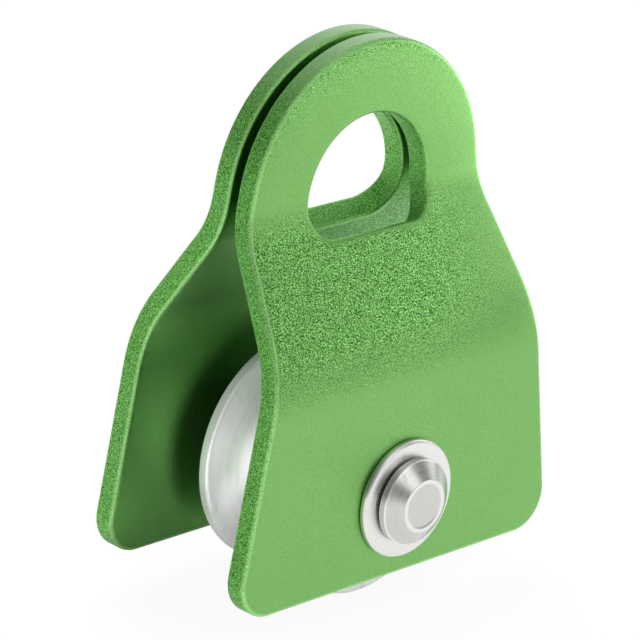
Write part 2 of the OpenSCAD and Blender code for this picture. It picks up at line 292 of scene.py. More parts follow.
class CheekShape:
    """The plate's sizes in millimetres and the numbers that follow from them."""

    def __init__(self, settings):
        for key in ("thickness", "head_radius", "foot_drop", "foot_width", "foot_radius",
                    "edge_radius", "throat", "head_gap", "joggle_drop", "upper_bend",
                    "lower_bend", "eye_width", "eye_drop", "eye_wide", "eye_tight",
                    "hole_radius", "crown"):
            setattr(self, key, getattr(settings, key) / MM)
        self.angle = settings.joggle_angle
        half = self.foot_width / 2
        self.flank = (np.arccos(self.head_radius / np.hypot(half, self.foot_drop))
                      - np.arctan2(self.foot_drop, half))
        shift = (self.throat - self.head_gap) / 2
        bends = self.upper_bend + self.lower_bend
        slope = (shift - bends * (1 - np.cos(self.angle))) / np.sin(self.angle)
        reach = slope * np.cos(self.angle) / 2
        self.upper_z = reach + self.upper_bend * np.sin(self.angle) - self.joggle_drop
        self.upper_y = self.head_gap / 2 + self.upper_bend
        self.lower_z = -reach - self.lower_bend * np.sin(self.angle) - self.joggle_drop
        self.lower_y = self.throat / 2 - self.lower_bend

    def face_y(self, z, depth):
        """Height over the middle plane: flat, an arc of the upper bend, the straight slope,
        an arc of the lower bend and flat again, all offset by depth."""
        up, low = self.upper_bend - depth, self.lower_bend + depth
        top = self.upper_z - up * np.sin(self.angle)
        foot = self.lower_z + low * np.sin(self.angle)
        flat_head = self.head_gap / 2 + depth + 0 * z
        arc_up = self.upper_y - np.sqrt(np.maximum(up ** 2 - (z - self.upper_z) ** 2, 0))
        slope = self.upper_y - up * np.cos(self.angle) + (top - z) * np.tan(self.angle)
        arc_low = self.lower_y + np.sqrt(np.maximum(low ** 2 - (z - self.lower_z) ** 2, 0))
        flat_foot = self.throat / 2 + depth + 0 * z
        return np.select([z >= self.upper_z, z >= top, z >= foot, z >= self.lower_z],
                         [flat_head, arc_up, slope, arc_low], flat_foot)

    def sheet_z(self, z, depth):
        """Height at depth of a point drawn on the outer face at z, going square through
        the plate: along the radius in a bend, down by sin(angle) in the slope."""
        rest, s = self.thickness - depth, np.sin(self.angle)
        up, low = self.upper_bend - self.thickness, self.lower_bend + self.thickness
        arc_up = self.upper_z - (self.upper_z - z) * (up + rest) / up
        arc_low = self.lower_z + (z - self.lower_z) * (low - rest) / low
        return np.select([z >= self.upper_z, z >= self.upper_z - up * s,
                          z >= self.lower_z + low * s, z >= self.lower_z],
                         [z, arc_up, z - rest * s, arc_low], z)

    def outline(self, seam):
        """The outline clockwise from the crown as points and outward normals: the head is
        an arc about the eye, the flank a straight tangent, the corner an arc and the foot
        a straight line. The inset flank crosses the seam's height at the returned index."""
        f, r, c = self.flank, self.head_radius, self.foot_radius
        normal = np.array([np.cos(f), np.sin(f)])
        head_end = r * normal
        corner = np.array([self.foot_width / 2 - c * (1 + np.sin(f)) / np.cos(f),
                           c - self.foot_drop])
        flank_end = corner + c * normal
        cut_z = seam + self.edge_radius * np.sin(f)
        flank = flank_end - head_end
        cut = head_end + flank * (cut_z - head_end[1]) / flank[1]
        a = np.linspace(np.pi / 2, f, HEAD_STEPS + 1)
        head = np.stack([r * np.cos(a), r * np.sin(a), np.cos(a), np.sin(a)], 1)

        def line(start, end, count, n):
            t = np.linspace(0, 1, count + 1)[1:, None]
            return np.hstack([start + (end - start) * t, np.tile(n, (count, 1))])

        upper = line(head_end, cut, UPPER_STEPS, normal)
        lower = line(cut, flank_end, LOWER_STEPS, normal)
        a = np.linspace(f, -np.pi / 2, CORNER_STEPS + 1)[1:]
        arc = np.stack([corner[0] + c * np.cos(a), corner[1] + c * np.sin(a),
                        np.cos(a), np.sin(a)], 1)
        foot = line(arc[-1, :2], np.array([0.0, -self.foot_drop]), FOOT_STEPS, [0.0, -1.0])
        half = np.vstack([head, upper, lower, arc, foot])
        mirrored = half[1:-1][::-1] * [-1, 1, -1, 1]
        return np.vstack([half, mirrored]), len(head) + len(upper) - 1

    def eye(self, angles):
        """Points and outward normals of the eye at the given angles about its centre:
        a half circle on top, two straight sides, a flat floor and its two corner arcs."""
        r, drop = self.eye_width / 2, self.eye_drop
        t = np.linspace(0, np.pi, EYE_ARC_STEPS)
        fine = [np.stack([r * np.cos(t), r * np.sin(t), np.cos(t), np.sin(t)], 1)]
        for side, radius, first in ((-1, self.eye_tight, 1.0), (1, self.eye_wide, 1.5)):
            x, z = side * (r - radius), radius - drop
            t = np.linspace(first * np.pi, (first + 0.5) * np.pi, EYE_CORNER_STEPS)
            fine.append(np.stack([x + radius * np.cos(t), z + radius * np.sin(t),
                                  np.cos(t), np.sin(t)], 1))
        fine = np.vstack(fine)
        turn = np.unwrap(np.arctan2(fine[:, 1], fine[:, 0]))
        fine = np.vstack([fine, fine[:1]])
        turn = np.append(turn, turn[0] + 2 * np.pi)
        wanted = (np.asarray(angles) - turn[0]) % (2 * np.pi) + turn[0]
        found = np.stack([np.interp(wanted, turn, fine[:, k]) for k in range(4)], 1)
        found[:, 2:] /= np.linalg.norm(found[:, 2:], axis=1, keepdims=True)
        return found


def cheek_surface(shape):
    """The whole skin of one plate as points, faces and masks.
    Each face of the plate is two fields of straight rays, one from the eye's lip to the
    head's edge and one from the axle hole to the foot's edge, that meet on a level line
    in the straight slope. A ray runs inner + (outer - inner) t in the plan of the outer
    face, and the plan is laid on the bent sheet by z' = sheet_z(z, depth) and
    y = face_y(z', depth). The tumbled faces fall towards the rim by
    crown exp(-distance / CROWN_FADE).
    The masks run from 0 to 1 at each point: cut_edge on the cut walls, lip on their rounded
    edges, which carry a painted highlight, inside on the faces between the cheeks, which carry a
    painted shade, and bend where the blasted grain is open, which is where a face slopes,
    clip(slope / tan(angle), 0, 1), more so towards +x, a fade that paints the stronger light on
    that side."""
    rim, cut = shape.outline(SEAM)
    count = len(rim)
    r = shape.edge_radius
    inset = rim[:, :2] - r * rim[:, 2:]
    end = inset[cut, 0]
    steep = np.arctan2(end, -SEAM)
    line_x = -SEAM * np.tan(np.linspace(steep, -steep, SEAM_POINTS)[1:-1])
    line = np.stack([line_x, np.full(len(line_x), SEAM)], 1)
    head = np.vstack([inset[:cut + 1], line, inset[count - cut:]])
    foot = np.vstack([inset[cut:count - cut + 1], line[::-1]])
    eye = shape.eye(np.arctan2(head[:, 1], head[:, 0]))
    drop = scene_settings().axle.drop / MM
    angle = np.arctan2(foot[:, 1] + drop, foot[:, 0])
    hole = shape.hole_radius * np.stack([np.cos(angle), np.sin(angle)], 1) - [0, drop]
    points, faces, total = [], [], 0
    masks = {"cut_edge": [], "lip": [], "bend": [], "inside": []}

    def add(rows, **given):
        nonlocal total
        steps, around = rows.shape[:2]
        points.append(rows.reshape(-1, 3))
        faces.append(band_faces(steps, around, total))
        for key, values in masks.items():
            values.append(np.broadcast_to(given.get(key, 0.0), (steps, around)).ravel())
        total += steps * around

    def lay(plan, depth):
        z = shape.sheet_z(plan[..., 1], depth)
        return np.stack([plan[..., 0], shape.face_y(z, depth), z], -1)

    # Painted light: the open grain's contrast grows towards +x, where the light falls stronger.
    def blasted(x):
        return np.interp(x, OPEN_ACROSS, OPEN_SHARE)

    def tilt(plan, depth, fall, outward):
        z = shape.sheet_z(plan[..., 1], depth)
        slope = (shape.face_y(z - SLOPE_PROBE, depth)
                 - shape.face_y(z + SLOPE_PROBE, depth)) / (2 * SLOPE_PROBE)
        light_fade = blasted(plan[..., 0])
        if depth == 0:
            light_fade = light_fade * np.interp(z, OPEN_INSIDE, OPEN_INSIDE_SHARE)
        steep = (slope + fall * outward) / np.tan(shape.angle)
        return np.clip(steep, 0, 1) * light_fade

    quarter = np.linspace(0, np.pi / 2, EDGE_POINTS)
    steps = [(r * (1 - np.sin(a)), r * (1 - np.cos(a)), a) for a in quarter]
    wall = np.linspace(r, shape.thickness - r, WALL_POINTS)[1:-1]
    profile = np.array(steps + [(0, d, np.pi / 2) for d in wall]
                       + [(i, shape.thickness - d, a) for i, d, a in steps[::-1]])
    side = np.sin(profile[:, 2, None]) ** 2
    lip = np.sin(2 * profile[:, 2, None])
    on_seam = {"head": np.isclose(head[:, 1], SEAM), "foot": np.isclose(foot[:, 1], SEAM)}
    for depth in (0.0, shape.thickness):
        inward = 1 if depth == 0 else -1
        for key, outer, inner in (("head", head, eye[:, :2] + r * eye[:, 2:]),
                                  ("foot", foot, hole)):
            t = (1 - (1 - np.linspace(0, 1, RAY_ROWS[key] + 1)) ** RAY_BUNCHING)[:, None]
            plan = inner + (outer - inner) * t[..., None]
            far = plan[:, :, None] - inset[None, None, ::RIM_STRIDE]
            gap = np.sqrt((far ** 2).sum(-1)).min(-1)
            gap[-1, ~on_seam[key]] = 0
            fall = np.exp(-gap / CROWN_FADE)
            fall[0] = 0
            rise = np.where(plan[..., 1] > 0, plan[..., 1] / shape.head_radius, 0)
            add(lay(plan, depth + inward * shape.crown * fall),
                bend=tilt(plan, depth, CROWN_OPENS * fall, rise), inside=float(depth == 0))
    squeeze = 1 - 2 * shape.crown / shape.thickness
    add(np.stack([lay(rim[:, :2] - i * rim[:, 2:], shape.crown + d * squeeze)
                  for i, d, a in profile]), cut_edge=side, lip=lip,
        bend=side * np.maximum(blasted(rim[:, 0]), RIM_OPEN_LEAST)[None])
    add(np.stack([lay(eye[:, :2] + i * eye[:, 2:], d) for i, d, a in profile]),
        cut_edge=side, lip=EYE_LIP * lip, bend=EYE_OPEN * side)
    add(np.stack([lay(hole, d) for d in (0.0, shape.thickness)]))
    masks = {key: np.concatenate(values) for key, values in masks.items()}
    return np.vstack(points), np.vstack(faces), masks


# Effects shared by materials

def group_of(name, inputs, outputs):
    """An empty node group with its inputs, each (name, type, default), and the names of
    its outputs, which are numbers."""
    group = bpy.data.node_groups.new(name, "ShaderNodeTree")
    for label, kind, default in inputs:
        socket = group.interface.new_socket(label, in_out="INPUT", socket_type=kind)
        if default is not None:
            socket.default_value = default
    for label in outputs:
        group.interface.new_socket(label, in_out="OUTPUT", socket_type=FLOAT)
    return group, group.nodes.new("NodeGroupInput"), group.nodes.new("NodeGroupOutput")


def feed(tree, value, socket):
    """Links another node's output to a socket, or sets a number or a colour on it."""
    if hasattr(value, "links"):
        tree.links.new(value, socket)
    else:
        socket.default_value = (*value, 1.0) if socket.type == "RGBA" else value


def maths(tree, operation, *values):
    """A Math node of the given operation on numbers or sockets, returning its output."""
    node = tree.nodes.new("ShaderNodeMath")
    node.operation = operation
    for value, socket in zip(values, node.inputs):
        feed(tree, value, socket)
    return node.outputs[0]


def along(tree, vector, axis):
    """One coordinate of a vector."""
    node = tree.nodes.new("ShaderNodeSeparateXYZ")
    tree.links.new(vector, node.inputs[0])
    return node.outputs[axis]


def noise(tree, vector, scale, detail=2.0, roughness=0.5, dimensions="3D"):
    """A Noise Texture read along vector, returning its factor."""
    node = tree.nodes.new("ShaderNodeTexNoise")
    node.noise_dimensions = dimensions
    node.inputs["Detail"].default_value = detail
    node.inputs["Roughness"].default_value = roughness
    tree.links.new(vector, node.inputs["Vector"])
    feed(tree, scale, node.inputs["Scale"])
    return node.outputs["Fac"]


def spread(tree, value, low, high, to_low=0.0, to_high=1.0, kind="LINEAR"):
    """A Map Range from low..high to to_low..to_high, held at its ends."""
    node = tree.nodes.new("ShaderNodeMapRange")
    node.interpolation_type = kind
    for label, number in (("From Min", low), ("From Max", high), ("To Min", to_low),
                          ("To Max", to_high)):
        node.inputs[label].default_value = number
    tree.links.new(value, node.inputs["Value"])
    return node.outputs[0]


def mix_colours(tree, factor, a, b, blend="MIX"):
    """A colour mix of two colours or sockets by factor, returning the result."""
    node = tree.nodes.new("ShaderNodeMix")
    node.data_type, node.blend_type = "RGBA", blend
    for number, value in ((0, factor), (6, a), (7, b)):
        feed(tree, value, node.inputs[number])
    return node.outputs[2]


def blasted_grain():
    """Bead-blasted grain: fine pits on coarser dimples. Height feeds a Bump node, Speckle
    is the fine pits alone, from 0 to 1, and Sparkle the same with a hard contrast."""
    group, start, end = group_of(
        "Blasted grain",
        [("Vector", VECTOR, None), ("Fine", FLOAT, 5000.0), ("Coarse", FLOAT, 1700.0)],
        ["Height", "Speckle", "Sparkle", "Cloud"])
    vector, clouds_per_metre, dimple_share = start.outputs["Vector"], 90.0, 0.35
    fine = noise(group, vector, start.outputs["Fine"], 1.5, 0.6)
    coarse = noise(group, vector, start.outputs["Coarse"], 2.0, 0.55)
    cloud = noise(group, vector, clouds_per_metre, 3.0, 0.5)
    height = maths(group, "MULTIPLY_ADD", coarse, dimple_share, fine)
    group.links.new(height, end.inputs["Height"])
    group.links.new(spread(group, fine, *NOISE_RANGE), end.inputs["Speckle"])
    group.links.new(spread(group, fine, 0.40, 0.60), end.inputs["Sparkle"])
    group.links.new(spread(group, cloud, *NOISE_RANGE), end.inputs["Cloud"])
    return group


def turned_lines():
    """Fine lathe lines about the axle: noise read along radius and y only, so that it is
    the same all the way round, with a slower noise that breaks the lines up. Scales are
    per metre."""
    group, start, end = group_of(
        "Turned lines",
        [("Vector", VECTOR, None), ("Axle drop", FLOAT, 0.047), ("Lines", FLOAT, 6000.0)],
        ["Height", "Streak"])
    broad_scale, spot_scale, spot_share = 900.0, 1400.0, 0.25
    x, y, z = (along(group, start.outputs["Vector"], axis) for axis in "XYZ")
    z = maths(group, "ADD", z, start.outputs["Axle drop"])
    square = maths(group, "MULTIPLY", z, z)
    radius = maths(group, "SQRT", maths(group, "MULTIPLY_ADD", x, x, square))
    around = group.nodes.new("ShaderNodeCombineXYZ")
    group.links.new(radius, around.inputs["X"])
    group.links.new(y, around.inputs["Y"])
    lines = noise(group, around.outputs[0], start.outputs["Lines"], 2.0, 0.6, "2D")
    broad = noise(group, around.outputs[0], broad_scale, 2.0, 0.5, "2D")
    spots = noise(group, start.outputs["Vector"], spot_scale, 2.0, 0.5)
    drawn = maths(group, "ADD", lines, broad)
    height = maths(group, "MULTIPLY_ADD", spots, spot_share, drawn)
    group.links.new(height, end.inputs["Height"])
    group.links.new(spread(group, lines, *NOISE_RANGE), end.inputs["Streak"])
    return group


def handling_marks():
    """Small scuffs and smears: a stretched noise cut to thin marks, from 0 to 1."""
    group, start, end = group_of(
        "Handling marks",
        [("Vector", VECTOR, None), ("Amount", FLOAT, 0.5)], ["Mark"])
    stretch = group.nodes.new("ShaderNodeMapping")
    stretch.inputs["Scale"].default_value = (1.0, 1.0, 0.25)
    stretch.inputs["Rotation"].default_value = (0.4, 0.9, 0.3)
    group.links.new(start.outputs["Vector"], stretch.inputs["Vector"])
    marks_per_metre, from_level, to_level = 700.0, 0.58, 0.72
    marks = noise(group, stretch.outputs[0], marks_per_metre, 4.0, 0.7)
    cut = spread(group, marks, from_level, to_level)
    group.links.new(maths(group, "MULTIPLY", cut, start.outputs["Amount"]), end.inputs["Mark"])
    return group


# Materials

def new_material(name):
    """A material with its Principled BSDF and the Object coordinates."""
    material = bpy.data.materials.new(name)
    material.use_nodes = True
    tree = material.node_tree
    shader = tree.nodes["Principled BSDF"]
    coordinates = tree.nodes.new("ShaderNodeTexCoord")
    return material, tree, shader, coordinates.outputs["Object"]


def place(tree, group, vector, **values):
    """A node group placed in a material, its Vector linked and its other inputs set."""
    node = tree.nodes.new("ShaderNodeGroup")
    node.node_tree = group
    tree.links.new(vector, node.inputs["Vector"])
    for label, number in values.items():
        node.inputs[label.replace("_", " ")].default_value = number
    return node


def bump(tree, shader, height, strength, distance):
    """A Bump node from height into the shader's Normal."""
    node = tree.nodes.new("ShaderNodeBump")
    node.inputs["Distance"].default_value = distance
    tree.links.new(height, node.inputs["Height"])
    feed(tree, strength, node.inputs["Strength"])
    tree.links.new(node.outputs[0], shader.inputs["Normal"])


def held(rgb):
    """A colour with no channel above 1."""
    return np.minimum(rgb, 1.0)


def mask(tree, name):
    """The factor of a mask that rides on the mesh."""
    node = tree.nodes.new("ShaderNodeAttribute")
    node.attribute_name = name
    return node.outputs["Fac"]


def ramp_colours(tree, amount, low, middle, high):
    """A colour that runs with amount from low through middle to high."""
    ramp = tree.nodes.new("ShaderNodeValToRGB")
    middle_stop = ramp.color_ramp.elements.new(0.5)
    middle_stop.color = (*middle, 1.0)
    ramp.color_ramp.elements[0].color = (*low, 1.0)
    ramp.color_ramp.elements[2].color = (*high, 1.0)
    tree.links.new(amount, ramp.inputs["Fac"])
    return ramp.outputs["Color"]


def anodised_green(grain_group, marks_group):
    """Bead-blasted and anodised plate, a metal. Flat faces have small green pits. Where a bend
    opens the grain, and on the cut walls, the pits are deep and their crests bright, partly real
    grain and partly painted reflection. The rounded lips carry a painted highlight, the faces
    between the cheeks a painted shade, and walls that face up on the crown a painted shade, a
    plain darker green without the grain's contrast, under a glossier coat."""
    settings = scene_settings().cheek
    coarse_share, pit_depth, cloud_share, crown_share = 0.34, 0.00016, 0.12, 0.8
    opening, faces_up, on_crown = (0.06, 0.75), (0.55, 0.95), (0.013, 0.018)
    face_rough, wall_rougher, scuffs, coat, crown_coat = 0.32, 0.04, 0.08, 0.06, 0.85
    face_bump, worked_bump, highlight_in_pits, highlight_on_crests = 0.3, 0.7, 0.45, 0.5
    material, tree, shader, place_at = new_material("Anodised green")
    green = np.array(settings.anodised)
    grain = place(tree, grain_group, place_at, Fine=1.0 / settings.grain,
                  Coarse=coarse_share / settings.grain)
    edge, lip = mask(tree, "cut_edge"), mask(tree, "lip")
    opened = spread(tree, mask(tree, "bend"), *opening)
    level = along(tree, place_at, "Z")
    facing = along(tree, place_at.node.outputs["Normal"], "Z")
    upward = maths(tree, "MULTIPLY", spread(tree, facing, *faces_up),
                   spread(tree, level, *on_crown))

    pit, crest = green * [0.80, 0.87, 0.76], held(green * [1.19, 1.12, 1.23])
    open_pit, open_slope = green * [0.0, 0.06, 0.0], green * [0.52, 0.97, 0.50]
    # The opened grain is real grain, its near-black pits and bright crests partly painted
    # reflection.
    open_crest = held(green * [2.25, 1.92, 2.25])
    wall_pit, wall_crest = green * [0.42, 0.62, 0.38], held(green * [1.8, 1.85, 1.8])
    open_wall_pit = green * [0.07, 0.18, 0.04]
    open_wall_crest = held(green * [1.25, 1.62, 1.15])
    cloud_tint, crown_shade, lip_highlight_tint = green * 0.8, green * 0.85, held(green * 1.55 + 0.10)
    # Painted shade for the faces between the cheeks.
    inside_shade = (0.72, 0.83, 0.70)

    face = mix_colours(tree, grain.outputs["Speckle"], pit, crest)
    face = mix_colours(tree, maths(tree, "MULTIPLY", grain.outputs["Cloud"], cloud_share),
                       face, cloud_tint)
    open_face = ramp_colours(tree, grain.outputs["Sparkle"], open_pit, open_slope, open_crest)
    face = mix_colours(tree, opened, face, open_face)
    # Painted shade: the faces between the cheeks are darkened.
    tone = mix_colours(tree, mask(tree, "inside"), WHITE, inside_shade)
    toned = mix_colours(tree, 1.0, face, tone, "MULTIPLY")
    wall = mix_colours(tree, grain.outputs["Sparkle"],
                       mix_colours(tree, opened, wall_pit, open_wall_pit),
                       mix_colours(tree, opened, wall_crest, open_wall_crest))
    # Painted shade: walls facing up on the crown turn a plain darker green, without the grain's
    # contrast, against the overhead lamp's highlight.
    wall = mix_colours(tree, maths(tree, "MULTIPLY", upward, crown_share), wall, crown_shade)
    plate = mix_colours(tree, edge, toned, wall)
    # Painted highlight: the rounded lips are tinted light, more on the grain's crests.
    rubbed = maths(tree, "MULTIPLY_ADD", grain.outputs["Sparkle"], highlight_on_crests, highlight_in_pits)
    plate = mix_colours(tree, maths(tree, "MULTIPLY", lip, rubbed), plate, lip_highlight_tint)
    tree.links.new(plate, shader.inputs["Base Color"])

    marks = place(tree, marks_group, place_at, Amount=scuffs)
    rough = maths(tree, "MULTIPLY_ADD", edge, wall_rougher, face_rough)
    tree.links.new(maths(tree, "ADD", rough, marks.outputs[0]), shader.inputs["Roughness"])
    shader.inputs["Metallic"].default_value = 1.0
    tree.links.new(maths(tree, "MULTIPLY_ADD", upward, crown_coat, coat),
                   shader.inputs["Coat Weight"])
    shader.inputs["Coat Roughness"].default_value = 0.35
    worked = maths(tree, "MAXIMUM", edge, opened)
    depth = maths(tree, "MULTIPLY_ADD", worked, worked_bump, face_bump)
    bump(tree, shader, grain.outputs["Height"], depth, pit_depth)
    return material


def turned_metal(name, lines_group, marks_group, rgb, roughness, depth, lines, tone,
                 metal=1.0):
    """A lathe-turned metal: fine lines round the axle in bump and tone, faint scuffs, and where
    the mesh has the masks, a painted highlight on edges and a painted shade in a gap."""
    material, tree, shader, place_at = new_material(name)
    scuff_tone, streak_rougher, scuff_rougher = 0.72, 0.08, 0.15
    turned_by = place(tree, lines_group, place_at, Lines=lines)
    turned_by.inputs["Axle drop"].default_value = scene_settings().axle.drop
    rgb = np.array(rgb)
    lined = mix_colours(tree, turned_by.outputs["Streak"], rgb * (1 - tone),
                        held(rgb * (1 + tone)))
    marks = place(tree, marks_group, place_at, Amount=0.5)
    lined = mix_colours(tree, marks.outputs[0], lined, rgb * scuff_tone)
    # Painted highlight on a head's rim edge and ring, and painted shade in the gap under it.
    for key, tint in (("rubbed", (0.98, 0.98, 0.96)), ("gap", (0.02, 0.02, 0.02))):
        lined = mix_colours(tree, mask(tree, key), lined, tint)
    tree.links.new(lined, shader.inputs["Base Color"])
    rough = maths(tree, "MULTIPLY_ADD", turned_by.outputs["Streak"], streak_rougher, roughness)
    tree.links.new(maths(tree, "MULTIPLY_ADD", marks.outputs[0], scuff_rougher, rough),
                   shader.inputs["Roughness"])
    shader.inputs["Metallic"].default_value = metal
    bump(tree, shader, turned_by.outputs["Height"], depth, LINE_DEPTH)
    return material


def tumbled_metal(name, grain_group, marks_group, rgb, roughness, depth):
    """A stamped and tumbled metal: shallow soft grain and scuffs."""
    material, tree, shader, place_at = new_material(name)
    dark_tone, light_tone, scuff_tone, cloud_rougher = 0.93, 1.04, 0.75, 0.12
    grain = place(tree, grain_group, place_at, Fine=2600.0, Coarse=700.0)
    rgb = np.array(rgb)
    marks = place(tree, marks_group, place_at, Amount=0.6)
    toned = mix_colours(tree, grain.outputs["Cloud"], rgb * dark_tone, held(rgb * light_tone))
    tree.links.new(mix_colours(tree, marks.outputs[0], toned, rgb * scuff_tone),
                   shader.inputs["Base Color"])
    tree.links.new(maths(tree, "MULTIPLY_ADD", grain.outputs["Cloud"], cloud_rougher, roughness),
                   shader.inputs["Roughness"])
    shader.inputs["Metallic"].default_value = 1.0
    bump(tree, shader, grain.outputs["Height"], depth, LINE_DEPTH)
    return material


def finish(name):
    """The material of that name, made once."""
    if name in bpy.data.materials:
        return bpy.data.materials[name]
    groups = bpy.data.node_groups
    grain = groups.get("Blasted grain") or blasted_grain()
    lines = groups.get("Turned lines") or turned_lines()
    marks = groups.get("Handling marks") or handling_marks()
    axle, sheave = scene_settings().axle, scene_settings().sheave
    turned_ones = {  # colour, roughness, bump strength, lines a metre, change of tone, metal
        "Turned steel": (axle.steel, 0.24, 0.12, 5000.0, 0.05),
        "Turned alloy": (sheave.alloy, sheave.polish, 0.12, 3500.0, 0.04, 0.7),
        "Bearing steel": ((0.52, 0.53, 0.55), 0.26, 0.15, 7000.0, 0.06)}
    tumbled_ones = {  # colour, roughness, bump strength
        "Washer steel": (axle.washer_steel, 0.26, 0.15),
        "Ball steel": ((0.80, 0.80, 0.82), 0.10, 0.03),
        "Cage brass": ((0.72, 0.52, 0.22), 0.30, 0.10)}
    if name in turned_ones:
        return turned_metal(name, lines, marks, *turned_ones[name])
    if name in tumbled_ones:
        return tumbled_metal(name, grain, marks, *tumbled_ones[name])
    return anodised_green(grain, marks)


def scene_settings():
    """The pulley's settings on the scene."""
    return bpy.context.scene.pulley


# Pieces

class PULLEY_OT_cheeks(bpy.types.Operator):
    """Builds the two joggled cheek plates"""
    bl_idname = "pulley.cheeks"
    bl_label = "Cheek plates"

    def execute(self, context):
        points, faces, masks = cheek_surface(CheekShape(scene_settings().cheek))
        for name, node, body, turn in (("cheek_rear", "rear_cheek", "root", 1),
                                       ("cheek_front", "front_cheek", "front_cheek", -1)):
            piece = add_piece(name, points * [turn, turn, 1], faces, body, "green_anodised",
                              finish("Anodised green"), masks)
            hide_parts(node)
        return {"FINISHED"}


def pin_profile(axle, washer_end):
    """Half of the riveted axle from its middle outwards, as (radius, y) points: the shank,
    a neck under the head, the head's rim, its cone, its flat ring and the dimple in it."""
    shank, head, flat = axle.shank_radius / MM, axle.head_radius / MM, axle.flat_radius / MM
    neck, rim, top = head - NECK_INSET, washer_end + HEAD_RIM, washer_end + HEAD_TOP
    dimple = top - DIMPLE_DEPTH
    return rounded([
        (shank, 0, 0), (shank, washer_end, 0), (neck, washer_end, 0),
        (neck, washer_end + NECK_TOP, 0.12), (head, washer_end + SKIRT, 0.15),
        (head, rim, 0.22), (flat, top, 0.45), (flat - RING_WIDTH, top, 0.3),
        (flat - DIMPLE_INSET, dimple, 0.5), (DIMPLE_CORE, dimple, 0.3),
        (0, dimple + DIMPLE_RISE, 0)], 8)


def head_masks(profile, axle, washer_end):
    """Masks along the profile of both heads: a painted highlight on the rim's edge and on the
    ring round the dimple, and a painted shade in the gap under the head. The edge's mask is
    exp(-(distance / HIGHLIGHT_REACH)^2) and the ring's is exp(-(distance / RING_REACH)^4)."""
    radius, height = profile[:, 0], np.abs(profile[:, 1]) - washer_end
    head, flat = axle.head_radius / MM, axle.flat_radius / MM
    edge = np.exp(-((radius - head) ** 2 + (height - HEAD_RIM) ** 2) / HIGHLIGHT_REACH ** 2)
    ring = np.exp(-((radius - flat + RING_MIDDLE) / RING_REACH) ** 4)
    ring = ring * (height > RING_FROM) * RING_HIGHLIGHT
    gap = np.clip((SHADE_TOP - height) / SHADE_FADE, 0, 1) * (height > SHADE_FOOT)
    return {"rubbed": np.maximum(edge, ring), "gap": gap}


class PULLEY_OT_axle(bpy.types.Operator):
    """Builds the riveted axle pin and its two washers"""
    bl_idname = "pulley.axle"
    bl_label = "Axle and washers"

    def execute(self, context):
        axle, cheek = scene_settings().axle, scene_settings().cheek
        start = (cheek.throat / 2 + cheek.thickness) / MM + SIDE_PLAY
        end = start + axle.washer_thickness / MM
        half = pin_profile(axle, end)
        half = np.vstack([half[:1], dense(half[1:])])
        whole = np.vstack([half[::-1] * [1, -1], half[1:]])
        masks = {key: np.repeat(values, TURN_STEPS)
                 for key, values in head_masks(whole, axle, end).items()}
        pin = add_piece("axle_rivet", *turned(whole), "root", "turned_steel",
                        finish("Turned steel"), masks, sharp=32)
        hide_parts("axle_pin")
        bore, rim = axle.shank_radius / MM + BORE_PLAY, axle.washer_radius / MM
        ring = rounded([(bore, start, 0), (rim, start, WASHER_INNER_EDGE),
                        (rim, end, WASHER_OUTER_EDGE), (bore, end, 0)], 8)
        for name, node, side in (("washer_rear", "rear_washer", 1),
                                 ("washer_front", "front_washer", -1)):
            loop = np.vstack([ring, ring[:1]]) * [1, side]
            piece = add_piece(name, *turned(loop), "root", "washer_steel",
                              finish("Washer steel"), sharp=40)
            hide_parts(node)
        return {"FINISHED"}


def sheave_profile(sheave):
    """The sheave's section as a closed loop of (radius, y) points: the rim's outer corner,
    a rounded lip that meets the groove's circle tangentially, the groove as an arc about
    its own centre, and the same mirrored, closed along the bearing seats and the web."""
    r, half = sheave.radius / MM, sheave.width / 2 / MM
    groove, lip = sheave.groove_radius / MM, sheave.lip_radius / MM
    bore, notch = sheave.seat_radius / MM, sheave.seat_break / MM
    bottom = half - sheave.seat_inset / MM
    centre = r - sheave.groove_depth / MM + groove
    lip_x = r - lip
    lip_y = np.sqrt((groove + lip) ** 2 - (lip_x - centre) ** 2)
    turn = np.arctan2(lip_y, lip_x - centre)
    a = np.linspace(0, turn - np.pi, 13)
    lip_arc = np.stack([lip_x + lip * np.cos(a), lip_y + lip * np.sin(a)], 1)
    b = np.linspace(turn, np.pi, 41)
    groove_arc = np.stack([centre + groove * np.cos(b), groove * np.sin(b)], 1)
    seat = rounded([(bore, bottom, 0), (bore, half - notch, 0.1), (bore + notch, half, 0.1),
                    (r, half, sheave.rim_break / MM), (r, lip_y, 0)], 6)[:-1]
    web = np.array([[sheave.web_radius / MM, bottom]])
    side = np.vstack([web, seat, lip_arc, groove_arc])
    return np.vstack([side, side[:-1][::-1] * [1, -1], side[:1]])


class PULLEY_OT_sheave(bpy.types.Operator):
    """Builds the grooved sheave"""
    bl_idname = "pulley.sheave"
    bl_label = "Sheave"

    def execute(self, context):
        profile = sheave_profile(scene_settings().sheave)
        piece = add_piece("sheave_turned", *turned(profile, SHEAVE_STEPS), "sheave",
                          "polished_alloy", finish("Turned alloy"), sharp=40)
        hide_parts("sheave")
        return {"FINISHED"}


class PULLEY_OT_bearings(bpy.types.Operator):
    """Gives the bearings, sleeve and spacers their finishes"""
    bl_idname = "pulley.bearings"
    bl_label = "Bearings and spacers"

    def execute(self, context):
        slots = {"turned_steel": "Turned steel", "bearing_steel": "Bearing steel",
                 "ball_steel": "Ball steel", "cage_brass": "Cage brass",
                 "green_anodised": "Anodised green", "polished_alloy": "Turned alloy",
                 "washer_steel": "Washer steel"}
        for part in frame["record"]["subparts"]:
            materials = nodes[part["node"]].data.materials
            materials.clear()
            materials.append(finish(slots[part["material_slot"]]))
        return {"FINISHED"}


# Stage

def grey(level):
    """A neutral colour of the given level."""
    return (level, level, level)


def mirror_rays(tree, path):
    """1 for the rays that metal and glass send out, from a Light Path node."""
    return maths(tree, "MAXIMUM", path.outputs["Is Glossy Ray"],
                 path.outputs["Is Transmission Ray"])


